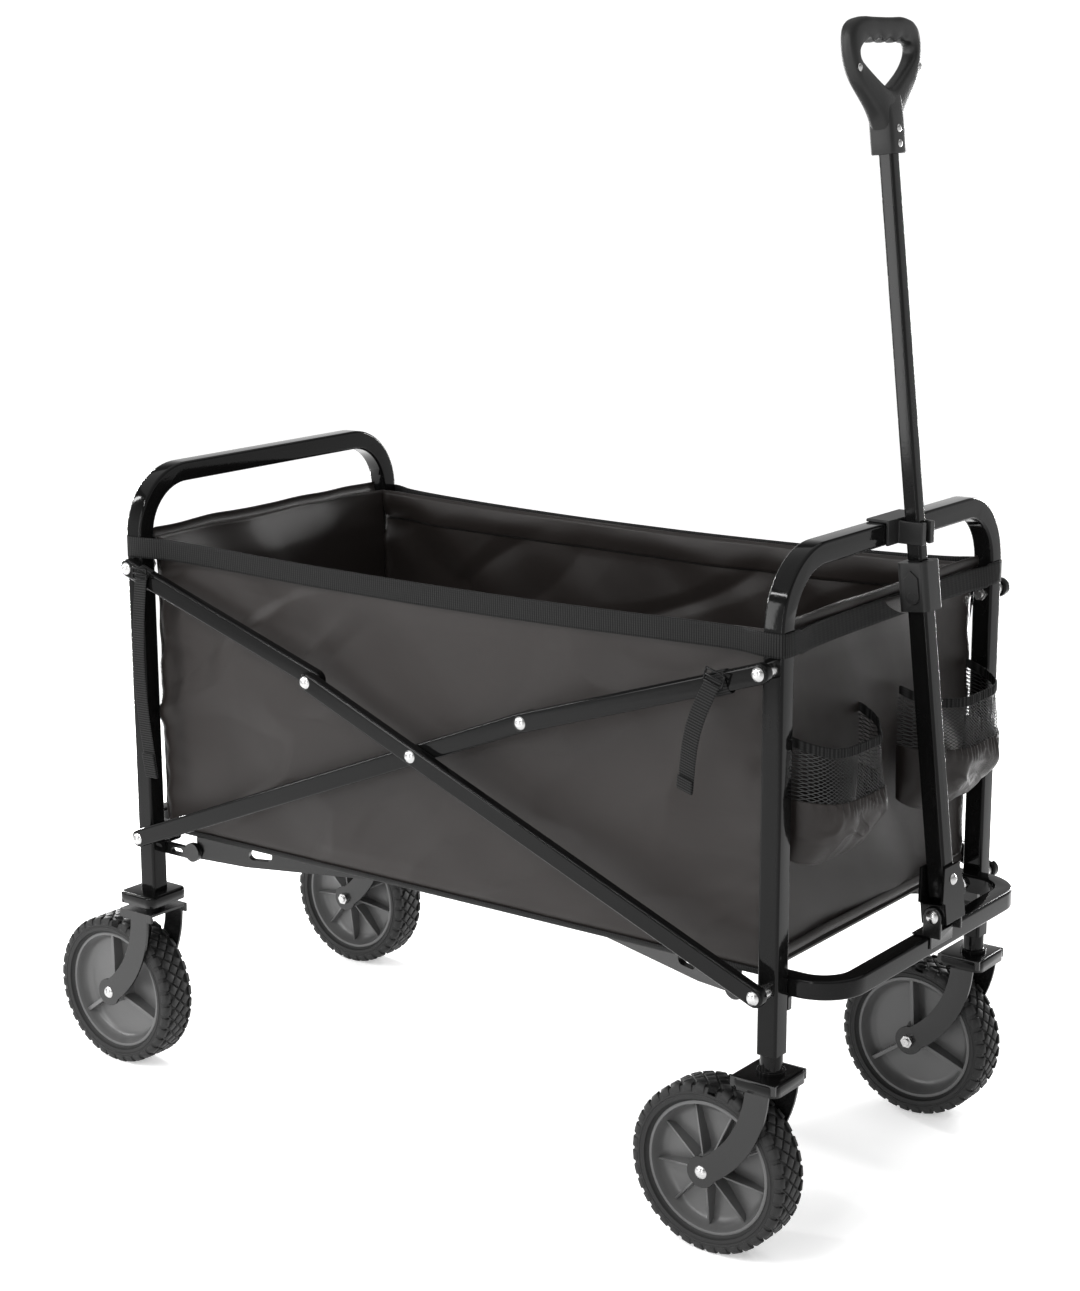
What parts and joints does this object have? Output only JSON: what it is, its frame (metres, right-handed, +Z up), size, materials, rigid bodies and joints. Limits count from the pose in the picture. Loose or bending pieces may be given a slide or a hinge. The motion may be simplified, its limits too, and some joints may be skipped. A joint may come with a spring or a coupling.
{
  "type": "folding wagon with pull handle",
  "caption": "Collapsible fabric-tub utility wagon with scissor side frame, swivelling front wheels and telescoping pull handle with D-shaped grip.",
  "frame": {"origin": "on the floor under the middle of the overall box", "axes": "+X forward to the pull handle, +Y to the wagon's left, +Z up"},
  "size_m": [1.0504, 0.4956, 1.1764],
  "materials": {
    "painted_steel": "gloss black powder coat",
    "zinc_bolt": "bright zinc",
    "black_plastic": "satin",
    "tyre_rubber": "matt",
    "rim_plastic": "satin grey",
    "tub_fabric": "coated polyester",
    "webbing": "woven",
    "pocket_mesh": "open mesh"
  },
  "bodies": {
    "front_frame": {"front_hoop": "painted_steel", "front_bumper": "painted_steel", "handle_saddle": "painted_steel", "handle_clip": "black_plastic", "front_swivel_collars": "zinc_bolt", "front_pivot_bolts": "zinc_bolt", "front_brackets": "painted_steel", "front_wall": "tub_fabric", "rim_band": "webbing", "tub_sides": "tub_fabric", "pocket_right": "pocket_mesh", "pocket_left": "pocket_mesh", "front_straps": "webbing", "handle_pitch_bolt": "zinc_bolt"},
    "rear_frame": {"rear_hoop": "painted_steel", "rear_bumper": "painted_steel", "rear_fork_right": "painted_steel", "rear_fork_left": "painted_steel", "rear_pivot_bolts": "zinc_bolt", "rear_brackets": "painted_steel", "rear_wall": "tub_fabric", "rear_straps": "webbing", "rear_axle_bolts": "zinc_bolt"},
    "bar_a_right": {"bar_a_right": "painted_steel", "bar_rivets_right": "zinc_bolt"},
    "bar_a_left": {"bar_a_left": "painted_steel", "bar_rivets_left": "zinc_bolt"},
    "bar_b_right": {"bar_b_right": "painted_steel"},
    "bar_b_left": {"bar_b_left": "painted_steel"},
    "link_front_right": {"link_front_right": "painted_steel", "link_rivet_right": "zinc_bolt"},
    "link_front_left": {"link_front_left": "painted_steel", "link_rivet_left": "zinc_bolt"},
    "link_rear_right": {"link_rear_right": "painted_steel"},
    "link_rear_left": {"link_rear_left": "painted_steel"},
    "caster_right": {"front_fork_right": "painted_steel", "front_axle_right": "zinc_bolt"},
    "caster_left": {"front_fork_left": "painted_steel", "front_axle_left": "zinc_bolt"},
    "wheel_front_right": {"tyre_front_right": "tyre_rubber", "rim_front_right": "rim_plastic"},
    "wheel_front_left": {"tyre_front_left": "tyre_rubber", "rim_front_left": "rim_plastic"},
    "wheel_rear_right": {"tyre_rear_right": "tyre_rubber", "rim_rear_right": "rim_plastic"},
    "wheel_rear_left": {"tyre_rear_left": "tyre_rubber", "rim_rear_left": "rim_plastic"},
    "floor_front": {"floor_legs_front": "painted_steel", "floor_board_front": "tub_fabric"},
    "floor_rear": {"floor_legs_rear": "painted_steel", "floor_board_rear": "tub_fabric"},
    "yoke": {"yoke": "painted_steel", "sway_bolt": "zinc_bolt"},
    "handle_stem": {"outer_tube": "painted_steel", "collar": "black_plastic", "button_spring": "zinc_bolt"},
    "handle_slide": {"inner_tube": "painted_steel", "grip": "black_plastic", "grip_rivets": "zinc_bolt"},
    "button": {"push_button": "black_plastic"}
  },
  "joints": [
    {"name": "fold", "type": "hinge", "parent": "front_frame", "child": "bar_a_right", "pos_m": [0.44132, -0.208, 0.282], "axis": [0, 1, 0], "range_deg": [0, 55], "deforming": ["tub_sides", "rim_band", "front_straps", "rear_straps"]},
    {"name": "bar_a_left_turn", "type": "hinge", "parent": "front_frame", "child": "bar_a_left", "pos_m": [0.44132, 0.208, 0.282], "axis": [0, 1, 0], "range_deg": [0, 55]},
    {"name": "bar_b_right_turn", "type": "hinge", "parent": "bar_a_right", "child": "bar_b_right", "pos_m": [0.02832, -0.208, 0.449], "axis": [0, 1, 0], "range_deg": [-110, 0]},
    {"name": "bar_b_left_turn", "type": "hinge", "parent": "bar_a_left", "child": "bar_b_left", "pos_m": [0.02832, 0.208, 0.449], "axis": [0, 1, 0], "range_deg": [-110, 0]},
    {"name": "rear_frame_turn", "type": "hinge", "parent": "bar_b_right", "child": "rear_frame", "pos_m": [-0.38468, -0.208, 0.282], "axis": [0, 1, 0], "range_deg": [0, 55]},
    {"name": "link_front_right_turn", "type": "hinge", "parent": "front_frame", "child": "link_front_right", "pos_m": [0.44132, -0.208, 0.594], "axis": [0, 1, 0], "range_deg": [0, 94.23]},
    {"name": "link_rear_right_turn", "type": "hinge", "parent": "rear_frame", "child": "link_rear_right", "pos_m": [-0.38468, -0.208, 0.594], "axis": [0, 1, 0], "range_deg": [-94.23, 0]},
    {"name": "link_front_left_turn", "type": "hinge", "parent": "front_frame", "child": "link_front_left", "pos_m": [0.44132, 0.208, 0.594], "axis": [0, 1, 0], "range_deg": [0, 94.23]},
    {"name": "link_rear_left_turn", "type": "hinge", "parent": "rear_frame", "child": "link_rear_left", "pos_m": [-0.38468, 0.208, 0.594], "axis": [0, 1, 0], "range_deg": [-94.23, 0]},
    {"name": "floor_front_turn", "type": "hinge", "parent": "front_frame", "child": "floor_front", "pos_m": [0.39132, 0, 0.266], "axis": [0, 1, 0], "range_deg": [0, 88]},
    {"name": "floor_rear_turn", "type": "hinge", "parent": "rear_frame", "child": "floor_rear", "pos_m": [-0.33468, 0, 0.266], "axis": [0, 1, 0], "range_deg": [-88, 0]},
    {"name": "swivel_right", "type": "hinge", "parent": "front_frame", "child": "caster_right", "pos_m": [0.44132, -0.208, 0.196], "axis": [0, 0, 1], "continuous": true},
    {"name": "spin_front_right", "type": "hinge", "parent": "caster_right", "child": "wheel_front_right", "pos_m": [0.38132, -0.208, 0.0875], "axis": [0, 1, 0], "continuous": true},
    {"name": "spin_rear_right", "type": "hinge", "parent": "rear_frame", "child": "wheel_rear_right", "pos_m": [-0.43768, -0.208, 0.0875], "axis": [0, 1, 0], "continuous": true},
    {"name": "swivel_left", "type": "hinge", "parent": "front_frame", "child": "caster_left", "pos_m": [0.44132, 0.208, 0.196], "axis": [0, 0, 1], "continuous": true},
    {"name": "spin_front_left", "type": "hinge", "parent": "caster_left", "child": "wheel_front_left", "pos_m": [0.38132, 0.208, 0.0875], "axis": [0, 1, 0], "continuous": true},
    {"name": "spin_rear_left", "type": "hinge", "parent": "rear_frame", "child": "wheel_rear_left", "pos_m": [-0.43768, 0.208, 0.0875], "axis": [0, 1, 0], "continuous": true},
    {"name": "handle_pitch", "type": "hinge", "parent": "front_frame", "child": "yoke", "pos_m": [0.51032, 0, 0.314], "axis": [0, 1, 0], "range_deg": [0, 100], "deforming": ["handle_clip"]},
    {"name": "handle_sway", "type": "hinge", "parent": "yoke", "child": "handle_stem", "pos_m": [0.50647, 0, 0.34778], "axis": [0.9936, 0, 0.1132], "range_deg": [-15, 15], "deforming": ["handle_clip"]},
    {"name": "telescope", "type": "slide", "parent": "handle_stem", "child": "handle_slide", "axis": [0.1132, 0, -0.9936], "range_m": [0, 0.235]},
    {"name": "button_press", "type": "slide", "parent": "handle_stem", "child": "button", "axis": [0, 1, 0], "range_m": [0, 0.003], "stiffness_N_per_m": 300, "deforming": ["button_spring"]}
  ],
  "couplings": [
    {"joint": "bar_a_left_turn", "follows": "fold", "ratio": 1},
    {"joint": "bar_b_right_turn", "follows": "fold", "ratio": -2},
    {"joint": "bar_b_left_turn", "follows": "fold", "ratio": -2},
    {"joint": "rear_frame_turn", "follows": "fold", "ratio": 1},
    {"joint": "link_front_right_turn", "follows": "fold", "ratio": 1.7133},
    {"joint": "link_rear_right_turn", "follows": "fold", "ratio": -1.7133},
    {"joint": "link_front_left_turn", "follows": "fold", "ratio": 1.7133},
    {"joint": "link_rear_left_turn", "follows": "fold", "ratio": -1.7133},
    {"joint": "floor_front_turn", "follows": "fold", "ratio": 1.6},
    {"joint": "floor_rear_turn", "follows": "fold", "ratio": -1.6}
  ]
}
